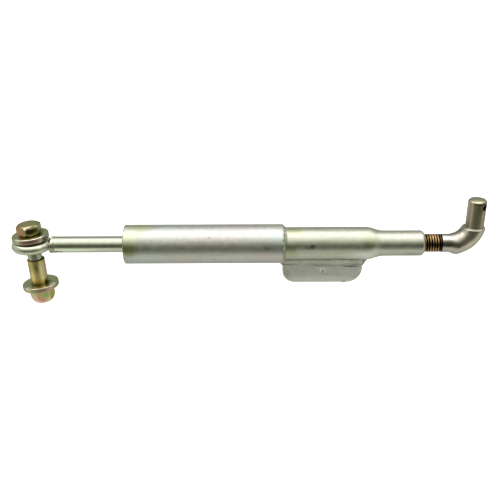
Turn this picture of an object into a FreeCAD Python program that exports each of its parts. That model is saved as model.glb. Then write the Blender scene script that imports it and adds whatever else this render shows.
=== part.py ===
import FreeCAD, Part
import math
import os

from FreeCAD import Vector

# Telescopic stabilizer bar for a tractor's lower link. Millimetres, +Z up.
# The origin is the centre of the eye on the bar's axis, +X runs from the eye
# to the hook, and the hook's pin points up along +Z.

# Clearances
ROD_CLEARANCE = 0.06          # radial, rod in guide bush
THREAD_CLEARANCE = 0.05       # radial, hook thread in the neck
LOOSE_RING_CLEARANCE = 0.08   # radial, stop rings on their tails
STOP_WASHER_AIR = 0.30        # radial, the rod's stop washer in the outer tube
SEAT_GAP = 0.05               # between faces that rest on each other
NUT_CLEARANCE = 0.04          # radial, nuts on their bolts
HOOK_RING_AIR = 0.70          # radial, the hook's stop ring in the swaged tube
TUBE_CLEARANCE = 0.15         # radial, swaged tube in outer tube
PRESS_CLEARANCE = 0.02        # radial, guide bush in outer tube
WASHER_PLAY = 0.60            # radial, thick washers on the bolt
BUSH_PLAY = 0.70              # radial, loose bush on the bolt
EYE_PLAY = 0.70               # radial, the bush when it is in the eye
END_GAP = 0.30                # left at each end of a stroke
TOUCH = 0.001                 # how near an edge lies to the place it is looked for

# Outer tube
ROD_SHOWING = 91.0            # eye centre to the tube's open end
OUTER_TUBE_WALL = 2.85        # its bore takes the swaged tube
OUTER_TUBE_LENGTH = 152.7
OUTER_TUBE_LIP = 1.2          # rounding of the open end

# Guide bush in the outer tube's open end
GUIDE_BUSH_LENGTH = 22.0
GUIDE_BUSH_RECESS = 1.0
GUIDE_BUSH_CHAMFER = 1.2

# Swaged tube
SWAGED_TUBE_OD = 32.2
SWAGED_TUBE_WALL = 3.2
SWAGED_TUBE_OVERLAP = 25.0    # length inside the outer tube
SWAGED_TUBE_STRAIGHT = 80.4   # from the outer tube's end to the swage
SWAGE_LENGTH = 19.4
NECK_WALL = 3.4               # outside the hook's thread
NECK_LENGTH = 38.1
NECK_END_AXIAL = 3.2          # rounded end of the neck
NECK_END_RADIAL = 2.5
NECK_END_CROWN = 0.55

# Weld round the joint of the two tubes
JOINT_WELD_LEG = 3.1
JOINT_WELD_CROWN = 0.35

# Turning lug and its welds
LUG_THICKNESS = 6.0
LUG_OFFSET = 0.9              # from the outer tube's end
LUG_LENGTH = 78.6
LUG_DEPTH = 41.0              # lower edge below the bar's axis
LUG_CORNER_LEFT = 12.5
LUG_CORNER_RIGHT = 15.0
LUG_EDGE_ROUND = 0.8
LUG_WELD_TOE = 3.8            # from the lug's face out to the toe on the tube
LUG_WELD_LEG = 6.5            # leg down the lug's face
LUG_WELD_CROWN = 0.5
END_WELD_LAP = 1.2            # each side of the lug
END_WELD_SINK = 0.1           # the toe starts this far inside the tube's line
LEFT_END_WELD_LEG = 5.2         # along the outer tube
LEFT_END_WELD_DROP = 3.8        # down the lug's end
LEFT_END_WELD_HOLLOW = 0.5
RIGHT_END_WELD_LENGTH = 15.0
RIGHT_END_WELD_DROP = 7.5     # below the tube's underside
RIGHT_END_WELD_HOLLOW = 3.8

# Sliding rod and eye
ROD_D = 16.0
ROD_END_ROUND = 0.5
ROD_START = 21.0              # eye centre to the rod's welded end
STROKE_IN = 50.0
ROD_TAIL_D = 12.0
ROD_TAIL_EXTRA = 2.0          # beyond the stop nut
EYE_SECTION = 10.2            # the bar that the eye is bent from
EYE_STUB_START_D = 9.0
EYE_STUB_D = 10.4
EYE_WELD_LENGTH = 4.6
EYE_WELD_TOE_D = 9.8
EYE_WELD_D = 15.9
EYE_WELD_CROWN = 0.2
STOP_WASHER_THICKNESS = 6.0
STOP_NUT_FLATS = 18.0
STOP_NUT_HEIGHT = 10.0

# Eye bolt stack
EYE_TURN = 1.2                # the eye and bolt stand turned about the bar
BOLT_LEAN = 4.6               # the bolt's head leans towards -X in the eye
BOLT_SHIFT = 0.1              # the bolt's axis, from the eye's centre
BOLT_D = 13.8
BOLT_TIP_SHOWING = 1.0        # below the nut
BOLT_TIP_CHAMFER = 1.2
HEX_FLATS = 21.0
HEX_HEAD_HEIGHT = 10.7
HEX_HEAD_TURN = 33.0          # one flat, turned from the front about the bolt's axis
HEX_FACE_SHARE = 0.86         # the round face's diameter over the flats
HEX_CHAMFER_ANGLE = 30.0
HEX_CHAMFER_CROWN = 0.12
HEAD_SEAT_SHARE = 0.88        # the same for the head's seat on the washer
HEAD_SEAT_ANGLE = 45.0
WASHER_OD = 35.1
WASHER_THICKNESS = 5.0
WASHER_EDGE_ROUND = 0.8
GRIP = 46.4                   # between the two washers
NUT_FLATS = 20.6
NUT_HEIGHT = 15.2
NUT_TURN = 17.0
NUT_DOME_SHARE = 0.76         # the nut's free end is domed to this share of its flats
NUT_DOME_ANGLE = 62.0
NUT_DOME_CROWN = 1.1
BUSH_WALL = 0.8
BUSH_LENGTH = 25.0
BUSH_LEAN = 2.0               # the loose bush stands askew, more upright than the bolt
BUSH_EDGE_ROUND = 0.3

# Hook
THREAD_D = 18.0
THREAD_SHOWING = 17.2
THREAD_RUNOUT = 1.0
SHANK_D = 18.0
SHANK_LENGTH = 7.6
ELBOW_RADIUS = 23.0
ELBOW_D = 21.8
ELBOW_DROP = 1.6              # the forged bend bulges below the bar's axis
ELBOW_SWELLS = [(0, 0.0), (5, 0.4), (11, 0.8), (22, 0.9), (38, 0.95), (60, 1.0), (90, 1.0)]
SHOULDER_HEIGHT = 17.0        # above the bar's axis
SHOULDER_ROUND = 1.2
PIN_D = 17.4
PIN_LENGTH = 27.8             # above the shoulder
PIN_CHAMFER = 1.4
LYNCH_HOLE_D = 6.5
LYNCH_HOLE_DROP = 6.1         # below the pin's top
LYNCH_HOLE_ANGLE = 41.0       # from -Y towards +X
STROKE_HOOK_OUT = 20.0
HOOK_TAIL_D = 12.0
HOOK_TAIL_EXTRA = 2.5         # beyond the clip
HOOK_RING_THICKNESS = 4.0
CLIP_D = 17.0
CLIP_THICKNESS = 1.6
TAIL_CHAMFER = 1.0

X = Vector(1, 0, 0)
Y = Vector(0, 1, 0)
Z = Vector(0, 0, 1)
ORIGIN = Vector(0, 0, 0)

# Diameters that follow from the sizes and clearances above
OUTER_BORE = SWAGED_TUBE_OD + 2 * TUBE_CLEARANCE
OUTER_TUBE_OD = OUTER_BORE + 2 * OUTER_TUBE_WALL
SWAGED_BORE = SWAGED_TUBE_OD - 2 * SWAGED_TUBE_WALL
NECK_BORE = THREAD_D + 2 * THREAD_CLEARANCE
NECK_OD = NECK_BORE + 2 * NECK_WALL
WASHER_BORE = BOLT_D + 2 * WASHER_PLAY
BUSH_BORE = BOLT_D + 2 * BUSH_PLAY
BUSH_OD = BUSH_BORE + 2 * BUSH_WALL
EYE_HOLE = BUSH_OD + 2 * EYE_PLAY
HOOK_RING_D = SWAGED_BORE - 2 * HOOK_RING_AIR

# Places along the bar
OUTER_TUBE_END = ROD_SHOWING + OUTER_TUBE_LENGTH
SWAGED_TUBE_START = OUTER_TUBE_END - SWAGED_TUBE_OVERLAP
SWAGE_START = OUTER_TUBE_END + SWAGED_TUBE_STRAIGHT
SWAGE_END = SWAGE_START + SWAGE_LENGTH
NECK_END = SWAGE_END + NECK_LENGTH
ROD_SHOULDER = SWAGED_TUBE_START - STROKE_IN - END_GAP - STOP_WASHER_THICKNESS - SEAT_GAP
STOP_NUT_START = ROD_SHOULDER + STOP_WASHER_THICKNESS + 2 * SEAT_GAP
GUIDE_BUSH_END = ROD_SHOWING + GUIDE_BUSH_RECESS + GUIDE_BUSH_LENGTH
STROKE_OUT = ROD_SHOULDER + SEAT_GAP - GUIDE_BUSH_END - END_GAP
HOOK_SHOULDER = SWAGE_START - STROKE_HOOK_OUT - END_GAP + SEAT_GAP
THREAD_END = NECK_END + THREAD_SHOWING
ELBOW_START = THREAD_END + SHANK_LENGTH
PIN_X = ELBOW_START + ELBOW_RADIUS
PIN_TOP = SHOULDER_HEIGHT + PIN_LENGTH
STROKE_HOOK_IN = THREAD_SHOWING - THREAD_RUNOUT
LUG_START = OUTER_TUBE_END + LUG_OFFSET
LUG_END = LUG_START + LUG_LENGTH

# Places along the bolt's own axis, from the eye's mid-plane
EYE_RING_RADIUS = (EYE_HOLE + EYE_SECTION) / 2
LEAN_RISE = (EYE_RING_RADIUS + BOLT_SHIFT) * math.tan(math.radians(BOLT_LEAN))
EYE_CREST = EYE_SECTION / 2 / math.cos(math.radians(BOLT_LEAN))
WASHER_SEAT = EYE_CREST + LEAN_RISE + SEAT_GAP
HEAD_SEAT = WASHER_SEAT + WASHER_THICKNESS
LOWER_WASHER_TOP = WASHER_SEAT - GRIP
LOWER_WASHER_BOTTOM = LOWER_WASHER_TOP - WASHER_THICKNESS
BOLT_TIP = LOWER_WASHER_BOTTOM - NUT_HEIGHT - BOLT_TIP_SHOWING


def cylinder_x(start, end, diameter):
    """A solid cylinder on the bar's axis."""
    return Part.makeCylinder(diameter / 2, end - start, Vector(start, 0, 0), X)


def cylinder_z(bottom, top, diameter):
    """A solid cylinder on the Z axis."""
    return Part.makeCylinder(diameter / 2, top - bottom, Vector(0, 0, bottom), Z)


def tube_x(start, end, outer, bore):
    """A plain sleeve on the bar's axis."""
    return cylinder_x(start, end, outer).cut(cylinder_x(start, end, bore))


def line(a, b):
    """A straight edge between two points."""
    return Part.LineSegment(a, b).toShape()


def arc(a, through, b):
    """A circular edge through three points."""
    return Part.Arc(a, through, b).toShape()


def revolve_x(edges):
    """A solid turned about the bar's axis from a closed outline."""
    return Part.makeSolid(Part.Face(Part.Wire(edges)).revolve(ORIGIN, X, 360).Shells[0])


def bar_point(x, radius):
    """A point of a turned outline, at this place and radius."""
    return Vector(x, 0, radius)


def crowned(a, b, crown):
    """An edge from a to b that stands proud of the straight line by the crown."""
    chord = b - a
    side = Vector(-chord.z, 0, chord.x).normalize()
    return arc(a, (a + b) * 0.5 + side * crown, b)


def edges_where(shape, test):
    """The edges of a shape whose middle point passes a test."""
    chosen = []
    for edge in shape.Edges:
        middle = edge.valueAt((edge.FirstParameter + edge.LastParameter) / 2)
        if test(middle, edge):
            chosen.append(edge)
    return chosen


def swage_edges(start, large, small):
    """The smooth step of a swage: a convex arc and a concave one, tangent."""
    step = large - small
    radius = (SWAGE_LENGTH ** 2 + step ** 2) / (4 * step)
    turn = math.asin(SWAGE_LENGTH / (2 * radius))
    run = radius * math.sin(turn / 2)
    dip = radius * (1 - math.cos(turn / 2))
    middle = bar_point(start + SWAGE_LENGTH / 2, (large + small) / 2)
    first = arc(bar_point(start, large), bar_point(start + run, large - dip), middle)
    second_through = bar_point(start + SWAGE_LENGTH - run, small + dip)
    second = arc(middle, second_through, bar_point(start + SWAGE_LENGTH, small))
    return [first, second]


def make_outer_tube():
    """The large tube that the rod slides in, with its open end rounded."""
    tube = tube_x(ROD_SHOWING, OUTER_TUBE_END, OUTER_TUBE_OD, OUTER_BORE)
    rim = edges_where(tube, lambda p, e: abs(p.x - ROD_SHOWING) < TOUCH
                      and abs(e.Curve.Radius - OUTER_TUBE_OD / 2) < TOUCH)
    return tube.makeFillet(OUTER_TUBE_LIP, rim)


def make_guide_bush():
    """The bush that carries the rod at the outer tube's open end."""
    start = ROD_SHOWING + GUIDE_BUSH_RECESS
    bore = ROD_D + 2 * ROD_CLEARANCE
    bush = tube_x(start, GUIDE_BUSH_END, OUTER_BORE - 2 * PRESS_CLEARANCE, bore)
    mouth = edges_where(bush, lambda p, e: e.Closed and abs(e.Curve.Radius - bore / 2) < TOUCH)
    return bush.makeChamfer(GUIDE_BUSH_CHAMFER, mouth)


def swaged_outline(radius_large, radius_small):
    """The swaged tube's outer edges, from its inner end to the neck's end."""
    flat_end = bar_point(NECK_END - NECK_END_AXIAL, radius_small)
    tip = bar_point(NECK_END, radius_small - NECK_END_RADIAL)
    start = bar_point(SWAGED_TUBE_START, radius_large)
    straight = line(start, bar_point(SWAGE_START, radius_large))
    neck = line(bar_point(SWAGE_END, radius_small), flat_end)
    swage = swage_edges(SWAGE_START, radius_large, radius_small)
    return [straight] + swage + [neck, crowned(flat_end, tip, NECK_END_CROWN)]


def make_swaged_tube():
    """The smaller tube, swaged down to a neck that holds the hook's thread."""
    outline = swaged_outline(SWAGED_TUBE_OD / 2, NECK_OD / 2)
    neck_start = bar_point(SWAGE_END, NECK_BORE / 2)
    neck_mouth = bar_point(NECK_END, NECK_BORE / 2)
    tube_start = bar_point(SWAGED_TUBE_START, SWAGED_BORE / 2)
    bore = [line(bar_point(NECK_END, NECK_OD / 2 - NECK_END_RADIAL), neck_mouth),
            line(neck_mouth, neck_start)]
    bore += swage_edges(SWAGE_START, SWAGED_BORE / 2, NECK_BORE / 2)
    bore += [line(bar_point(SWAGE_START, SWAGED_BORE / 2), tube_start),
             line(tube_start, bar_point(SWAGED_TUBE_START, SWAGED_TUBE_OD / 2))]
    return revolve_x(Part.sortEdges(outline + bore)[0])


def swaged_tube_space():
    """The swaged tube without its bore, to cut what seats on it."""
    outline = swaged_outline(SWAGED_TUBE_OD / 2, NECK_OD / 2)
    on_axis_start = bar_point(SWAGED_TUBE_START, 0)
    on_axis_end = bar_point(NECK_END, 0)
    closing = [line(bar_point(NECK_END, NECK_OD / 2 - NECK_END_RADIAL), on_axis_end),
               line(on_axis_end, on_axis_start),
               line(on_axis_start, bar_point(SWAGED_TUBE_START, SWAGED_TUBE_OD / 2))]
    return revolve_x(Part.sortEdges(outline + closing)[0])


def make_turning_lug():
    """The flat lug under the tube, cut to sit on it."""
    top = -SWAGED_TUBE_OD / 4
    left_curve = Vector(LUG_START, 0, -LUG_DEPTH + LUG_CORNER_LEFT)
    left_foot = Vector(LUG_START + LUG_CORNER_LEFT, 0, -LUG_DEPTH)
    right_foot = Vector(LUG_END - LUG_CORNER_RIGHT, 0, -LUG_DEPTH)
    right_curve = Vector(LUG_END, 0, -LUG_DEPTH + LUG_CORNER_RIGHT)
    bend = 1 - math.cos(math.radians(45))
    left_mid = Vector(LUG_START + LUG_CORNER_LEFT * bend, 0, -LUG_DEPTH + LUG_CORNER_LEFT * bend)
    right_mid = Vector(LUG_END - LUG_CORNER_RIGHT * bend, 0, -LUG_DEPTH + LUG_CORNER_RIGHT * bend)
    edges = [line(Vector(LUG_START, 0, top), left_curve),
             arc(left_curve, left_mid, left_foot),
             line(left_foot, right_foot),
             arc(right_foot, right_mid, right_curve),
             line(right_curve, Vector(LUG_END, 0, top)),
             line(Vector(LUG_END, 0, top), Vector(LUG_START, 0, top))]
    plate = Part.Face(Part.Wire(edges)).extrude(Y * LUG_THICKNESS)
    plate.translate(Y * (-LUG_THICKNESS / 2))
    rim = edges_where(plate, lambda p, e: abs(abs(p.y) - LUG_THICKNESS / 2) < TOUCH
                      and p.z < -SWAGED_TUBE_OD / 2 - LUG_WELD_LEG)
    return plate.makeFillet(LUG_EDGE_ROUND, rim).cut(swaged_tube_space())


def make_side_weld(side):
    """The fillet bead along one face of the lug; side is -1 in front, 1 behind."""
    radius = SWAGED_TUBE_OD / 2
    half = LUG_THICKNESS / 2

    def on_tube(out):
        """A point of the tube's round, this far out from the lug's mid-plane."""
        return Vector(0, side * out, -math.sqrt(radius ** 2 - out ** 2))

    reach = half + LUG_WELD_TOE
    toe = on_tube(reach)
    corner = on_tube(half)
    foot = Vector(0, side * half, corner.z - LUG_WELD_LEG)
    middle = (toe + foot) * 0.5
    outward = Vector(0, side, -0.5).normalize() * LUG_WELD_CROWN
    face = Part.Face(Part.Wire([arc(corner, on_tube((half + reach) / 2), toe),
                                arc(toe, middle + outward, foot),
                                line(foot, corner)]))
    bead = face.extrude(X * LUG_LENGTH)
    bead.translate(X * LUG_START)
    return bead


def make_end_welds():
    """The two fillets that run out from the lug's ends onto the tubes."""
    half = LUG_THICKNESS / 2 + END_WELD_LAP
    tube_side = -math.sqrt((OUTER_TUBE_OD / 2) ** 2 - half ** 2)
    corner = Vector(LUG_START, -half, 0)
    left_toe = Vector(LUG_START - LEFT_END_WELD_LEG, -half, tube_side + END_WELD_SINK)
    left_foot = Vector(LUG_START, -half, tube_side - LEFT_END_WELD_DROP)
    hollow = (left_toe + left_foot) * 0.5 + Vector(1, 0, 1) * LEFT_END_WELD_HOLLOW
    left_top = Vector(left_toe.x, -half, 0)
    left = Part.Face(Part.Wire([arc(left_toe, hollow, left_foot), line(left_foot, corner),
                                line(corner, left_top), line(left_top, left_toe)]))
    left = left.extrude(Y * (2 * half))
    outer_space = cylinder_x(ROD_SHOWING, OUTER_TUBE_END, OUTER_TUBE_OD)
    left = left.cut(outer_space).cut(swaged_tube_space())

    right_foot = Vector(LUG_END, -half, -SWAGED_TUBE_OD / 2 - RIGHT_END_WELD_DROP)
    right_toe = Vector(LUG_END + RIGHT_END_WELD_LENGTH, -half, -NECK_OD / 2)
    chord = right_toe - right_foot
    sag = Vector(-chord.z, 0, chord.x).normalize() * RIGHT_END_WELD_HOLLOW
    right_mid = (right_foot + right_toe) * 0.5 + sag
    right_top = Vector(right_toe.x, -half, 0)
    top_corner = Vector(LUG_END, -half, 0)
    right = Part.Face(Part.Wire([arc(right_foot, right_mid, right_toe), line(right_toe, right_top),
                                 line(right_top, top_corner), line(top_corner, right_foot)]))
    right = right.extrude(Y * (2 * half)).cut(swaged_tube_space())
    return Part.makeCompound([largest_solid(left), largest_solid(right)])


def largest_solid(shape):
    """The biggest solid of a cut shape."""
    return max(shape.Solids, key=lambda solid: solid.Volume)


def make_joint_weld(others):
    """The bead round the joint of the two tubes, cut clear of the lug and its welds."""
    root = bar_point(OUTER_TUBE_END, SWAGED_TUBE_OD / 2)
    on_outer = bar_point(OUTER_TUBE_END, OUTER_TUBE_OD / 2)
    on_swaged = bar_point(OUTER_TUBE_END + JOINT_WELD_LEG, SWAGED_TUBE_OD / 2)
    ring = revolve_x([line(root, on_outer), crowned(on_outer, on_swaged, JOINT_WELD_CROWN),
                      line(on_swaged, root)])
    for other in others:
        ring = ring.cut(other)
    return largest_solid(ring)


def make_slide_rod():
    """The rod, with the turned-down tail that carries the stop washer and nut."""
    tail_end = STOP_NUT_START + STOP_NUT_HEIGHT + ROD_TAIL_EXTRA
    rod = cylinder_x(ROD_START, ROD_SHOULDER, ROD_D)
    start = edges_where(rod, lambda p, e: e.Closed and abs(p.x - ROD_START) < TOUCH)
    rod = rod.makeFillet(ROD_END_ROUND, start)
    tail = cylinder_x(ROD_SHOULDER, tail_end, ROD_TAIL_D)
    tip = edges_where(tail, lambda p, e: e.Closed and abs(p.x - tail_end) < TOUCH)
    return rod.fuse(tail.makeChamfer(TAIL_CHAMFER, tip)).removeSplitter()


def make_eye_ring():
    """The eye, a bar bent into a ring, with its short stub towards the rod."""
    ring = Part.makeTorus(EYE_RING_RADIUS, EYE_SECTION / 2)
    stub = Part.makeCone(EYE_STUB_START_D / 2, EYE_STUB_D / 2, ROD_START - EYE_RING_RADIUS,
                         Vector(EYE_RING_RADIUS, 0, 0), X)
    eye = ring.fuse(stub)
    eye.rotate(ORIGIN, X, -EYE_TURN)
    return eye


def make_eye_weld(eye):
    """The weld that closes the eye onto the rod's end."""
    start = ROD_START - EYE_WELD_LENGTH
    toe = bar_point(start, EYE_WELD_TOE_D / 2)
    crown = bar_point(ROD_START, EYE_WELD_D / 2 - ROD_END_ROUND)
    edges = [line(bar_point(start, 0), toe), crowned(toe, crown, EYE_WELD_CROWN),
             line(crown, bar_point(ROD_START, 0)), line(bar_point(ROD_START, 0), bar_point(start, 0))]
    return largest_solid(revolve_x(edges).cut(eye))


def hex_prism(flats, bottom, top, turn):
    """A hexagon on the Z axis, its front flat turned from -Y by this angle."""
    corner = flats / math.sqrt(3)
    points = []
    for step in range(7):
        angle = math.radians(turn - 60 + 60 * step)
        points.append(Vector(corner * math.cos(angle), corner * math.sin(angle), bottom))
    return Part.Face(Part.makePolygon(points)).extrude(Z * (top - bottom))


def turned_off(hexagon, flats, edge, face, share, angle, crown):
    """A hexagon with its corners turned off at one face, on a slope that bows by the crown."""
    corner = flats / math.sqrt(3)
    rim = share * flats / 2
    depth = math.copysign((corner - rim) * math.tan(math.radians(angle)), edge - face)
    toe = Vector(rim, 0, face)
    heel = Vector(corner, 0, face + depth)
    outward = Vector(abs(depth), 0, math.copysign(corner - rim, face - edge)).normalize()
    far = Vector(corner, 0, edge)
    outline = [line(Vector(0, 0, face), toe), arc(toe, (toe + heel) * 0.5 + outward * crown, heel),
               line(heel, far), line(far, Vector(0, 0, edge)),
               line(Vector(0, 0, edge), Vector(0, 0, face))]
    turned = Part.Face(Part.Wire(outline)).revolve(ORIGIN, Z, 360)
    return hexagon.common(Part.makeSolid(turned.Shells[0]))


def onto_eye(shape):
    """Leans a piece from the bolt's own axis into its place in the eye."""
    shape.rotate(ORIGIN, Y, -BOLT_LEAN)
    shape.translate(X * BOLT_SHIFT)
    shape.rotate(ORIGIN, X, -EYE_TURN)
    return shape


def make_washer(bottom):
    """One of the two thick washers on the bolt."""
    top = bottom + WASHER_THICKNESS
    washer = cylinder_z(bottom, top, WASHER_OD)
    washer = washer.makeFillet(WASHER_EDGE_ROUND, [e for e in washer.Edges if e.Closed])
    return washer.cut(cylinder_z(bottom, top, WASHER_BORE))


def make_eye_bolt():
    """The hexagon bolt through the eye."""
    head_bottom = HEAD_SEAT + SEAT_GAP
    head_top = head_bottom + HEX_HEAD_HEIGHT
    head = hex_prism(HEX_FLATS, head_bottom, head_top, HEX_HEAD_TURN)
    head = turned_off(head, HEX_FLATS, head_bottom, head_top, HEX_FACE_SHARE, HEX_CHAMFER_ANGLE,
                      HEX_CHAMFER_CROWN)
    head = turned_off(head, HEX_FLATS, head_top, head_bottom, HEAD_SEAT_SHARE, HEAD_SEAT_ANGLE,
                      HEX_CHAMFER_CROWN)
    shank = cylinder_z(BOLT_TIP, head_bottom, BOLT_D)
    tip = edges_where(shank, lambda p, e: e.Closed and abs(p.z - BOLT_TIP) < TOUCH)
    return head.fuse(shank.makeChamfer(BOLT_TIP_CHAMFER, tip)).removeSplitter()


def make_bolt_nut():
    """The hexagon nut under the lower washer, its free end domed."""
    top = LOWER_WASHER_BOTTOM
    bottom = top - NUT_HEIGHT
    nut = turned_off(hex_prism(NUT_FLATS, bottom, top, NUT_TURN), NUT_FLATS, top, bottom,
                     NUT_DOME_SHARE, NUT_DOME_ANGLE, NUT_DOME_CROWN)
    return nut.cut(cylinder_z(bottom, top, BOLT_D + 2 * NUT_CLEARANCE))


def make_bolt_bush():
    """The loose spacer bush that has dropped onto the lower washer."""
    bottom = LOWER_WASHER_TOP + SEAT_GAP
    bush = cylinder_z(bottom, bottom + BUSH_LENGTH, BUSH_OD)
    bush = bush.makeFillet(BUSH_EDGE_ROUND, [e for e in bush.Edges if e.Closed])
    bush = bush.cut(cylinder_z(bottom, bottom + BUSH_LENGTH, BUSH_BORE))
    bush.rotate(Vector(0, 0, bottom + BUSH_LENGTH / 2), Y, BUSH_LEAN)
    bush.translate(Z * BUSH_OD / 2 * math.sin(math.radians(BUSH_LEAN)))
    return bush


def elbow_section(angle, swell):
    """A round section of the elbow at this angle, grown from the shank by the swell."""
    turn = math.radians(angle)
    drop = ELBOW_DROP * swell
    centre = Vector(ELBOW_START + ELBOW_RADIUS * math.sin(turn), 0,
                    ELBOW_RADIUS * (1 - math.cos(turn)) - drop)
    along = Vector(math.cos(turn), 0, math.sin(turn))
    diameter = SHANK_D + (ELBOW_D - SHANK_D) * swell
    return Part.Wire(Part.makeCircle(diameter / 2, centre, along))


def make_hook():
    """The hook: thread, forged elbow, shoulder and upright pin in one piece."""
    sections = [elbow_section(angle, swell) for angle, swell in ELBOW_SWELLS]
    elbow = Part.makeLoft(sections, True, False)
    above = Part.makeBox(4 * ELBOW_D, 4 * ELBOW_D, 2 * ELBOW_RADIUS,
                         Vector(PIN_X - 2 * ELBOW_D, -2 * ELBOW_D, SHOULDER_HEIGHT))
    elbow = elbow.cut(above)
    lip = edges_where(elbow, lambda p, e: abs(p.z - SHOULDER_HEIGHT) < TOUCH)
    elbow = elbow.makeFillet(SHOULDER_ROUND, lip)

    tail_end = HOOK_SHOULDER - HOOK_RING_THICKNESS - 3 * SEAT_GAP - CLIP_THICKNESS - HOOK_TAIL_EXTRA
    tail = cylinder_x(tail_end, HOOK_SHOULDER, HOOK_TAIL_D)
    tip = edges_where(tail, lambda p, e: e.Closed and abs(p.x - tail_end) < TOUCH)
    tail = tail.makeChamfer(TAIL_CHAMFER, tip)
    thread = cylinder_x(HOOK_SHOULDER, THREAD_END, THREAD_D)
    shank = cylinder_x(THREAD_END, ELBOW_START, SHANK_D)

    pin = cylinder_z(SHOULDER_HEIGHT - ELBOW_D / 4, PIN_TOP, PIN_D)
    rim = edges_where(pin, lambda p, e: e.Closed and abs(p.z - PIN_TOP) < TOUCH)
    pin = pin.makeChamfer(PIN_CHAMFER, rim)
    pin.translate(X * PIN_X)
    hook = elbow.fuse([tail, thread, shank, pin]).removeSplitter()
    return hook.cut(lynch_hole())


def lynch_hole():
    """The cross hole near the pin's top."""
    turn = math.radians(LYNCH_HOLE_ANGLE)
    outward = Vector(math.sin(turn), -math.cos(turn), 0)
    centre = Vector(PIN_X, 0, PIN_TOP - LYNCH_HOLE_DROP)
    return Part.makeCylinder(LYNCH_HOLE_D / 2, 2 * PIN_D, centre - outward * PIN_D, outward)


def make_stop_nut():
    """The nut on the rod's tail."""
    nut = turned_off(hex_prism(STOP_NUT_FLATS, 0, STOP_NUT_HEIGHT, 0), STOP_NUT_FLATS, 0,
                     STOP_NUT_HEIGHT, HEX_FACE_SHARE, HEX_CHAMFER_ANGLE, HEX_CHAMFER_CROWN)
    nut = nut.cut(cylinder_z(0, STOP_NUT_HEIGHT, ROD_TAIL_D + 2 * NUT_CLEARANCE))
    nut.rotate(ORIGIN, Y, 90)
    nut.translate(X * STOP_NUT_START)
    return nut


def make_parts():
    """Every node of the bar, by name."""
    lug = make_turning_lug()
    front_weld = make_side_weld(-1)
    rear_weld = make_side_weld(1)
    end_welds = make_end_welds()
    eye = make_eye_ring()
    washer_start = ROD_SHOULDER + SEAT_GAP
    ring_end = HOOK_SHOULDER - SEAT_GAP
    clip_end = ring_end - HOOK_RING_THICKNESS - SEAT_GAP
    return {
        "outer_tube": make_outer_tube(),
        "guide_bush": make_guide_bush(),
        "swaged_tube": make_swaged_tube(),
        "turning_lug": lug,
        "lug_weld_front": front_weld,
        "lug_weld_rear": rear_weld,
        "lug_weld_ends": end_welds,
        "tube_joint_weld": make_joint_weld([lug, front_weld, rear_weld, end_welds]),
        "slide_rod": make_slide_rod(),
        "eye_ring": eye,
        "eye_weld": make_eye_weld(eye),
        "stop_washer": tube_x(washer_start, washer_start + STOP_WASHER_THICKNESS,
                              OUTER_BORE - 2 * STOP_WASHER_AIR, ROD_TAIL_D + 2 * LOOSE_RING_CLEARANCE),
        "stop_nut": make_stop_nut(),
        "head_washer": onto_eye(make_washer(WASHER_SEAT)),
        "eye_bolt": onto_eye(make_eye_bolt()),
        "bolt_bush": onto_eye(make_bolt_bush()),
        "nut_washer": onto_eye(make_washer(LOWER_WASHER_BOTTOM)),
        "bolt_nut": onto_eye(make_bolt_nut()),
        "hook": make_hook(),
        "hook_stop_ring": tube_x(ring_end - HOOK_RING_THICKNESS, ring_end, HOOK_RING_D,
                                 HOOK_TAIL_D + 2 * LOOSE_RING_CLEARANCE),
        "hook_stop_clip": tube_x(clip_end - CLIP_THICKNESS, clip_end, CLIP_D,
                                 HOOK_TAIL_D + 2 * NUT_CLEARANCE),
    }


def main():
    """Writes one STEP file for each node."""
    os.makedirs("parts", exist_ok=True)
    for name, shape in make_parts().items():
        box = shape.BoundBox
        print("%-16s solids %d valid %s volume %9.1f  x %7.2f to %7.2f  z %6.2f to %6.2f"
              % (name, len(shape.Solids), shape.isValid(), shape.Volume,
                 box.XMin, box.XMax, box.ZMin, box.ZMax))
        shape.exportStep("parts/" + name + ".step")


main()
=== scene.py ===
"""A telescopic stabilizer bar for a tractor's lower link, dressed for the studio.

The bar runs along +X from its bolted eye to its screwed hook. Sizes are metres in
the row's own frame unless a name ends in _mm.
"""
import logging
import math
from dataclasses import dataclass, field
from enum import Enum

import bmesh
import bpy
from mathutils import Matrix, Vector, noise


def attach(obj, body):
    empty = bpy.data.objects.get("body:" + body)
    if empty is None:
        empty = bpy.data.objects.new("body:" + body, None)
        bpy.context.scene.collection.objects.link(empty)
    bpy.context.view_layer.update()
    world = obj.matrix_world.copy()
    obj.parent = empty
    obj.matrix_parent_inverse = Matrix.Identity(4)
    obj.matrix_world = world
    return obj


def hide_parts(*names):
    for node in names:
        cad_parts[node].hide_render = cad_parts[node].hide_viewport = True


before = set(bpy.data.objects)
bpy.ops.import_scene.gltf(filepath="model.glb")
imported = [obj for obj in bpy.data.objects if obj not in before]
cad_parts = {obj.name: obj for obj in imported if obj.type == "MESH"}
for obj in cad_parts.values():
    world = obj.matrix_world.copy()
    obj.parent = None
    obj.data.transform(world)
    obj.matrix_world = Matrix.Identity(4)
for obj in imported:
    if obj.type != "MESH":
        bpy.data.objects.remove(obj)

LOG = logging.getLogger("stabilizer")
MM = 0.001
PHOTO_PIXELS = 500
MERGE = 0.002 * MM
X_AXIS = Vector((1, 0, 0))
Z_AXIS = Vector((0, 0, 1))
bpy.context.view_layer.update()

# The sRGB curve is a straight line up to its knee and a power above it.
SRGB_KNEE = 0.04045
SRGB_SLOPE = 12.92
SRGB_OFFSET = 0.055
SRGB_POWER = 2.4

# Nearly all of a noise's values lie between these two.
NOISE_LOW = 0.25
NOISE_HIGH = 0.75


class Body(Enum):
    """The CAD bodies that the pieces made here ride on."""

    HOOK = "hook"
    TUBE = "tube"
    ROD = "rod"


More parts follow.
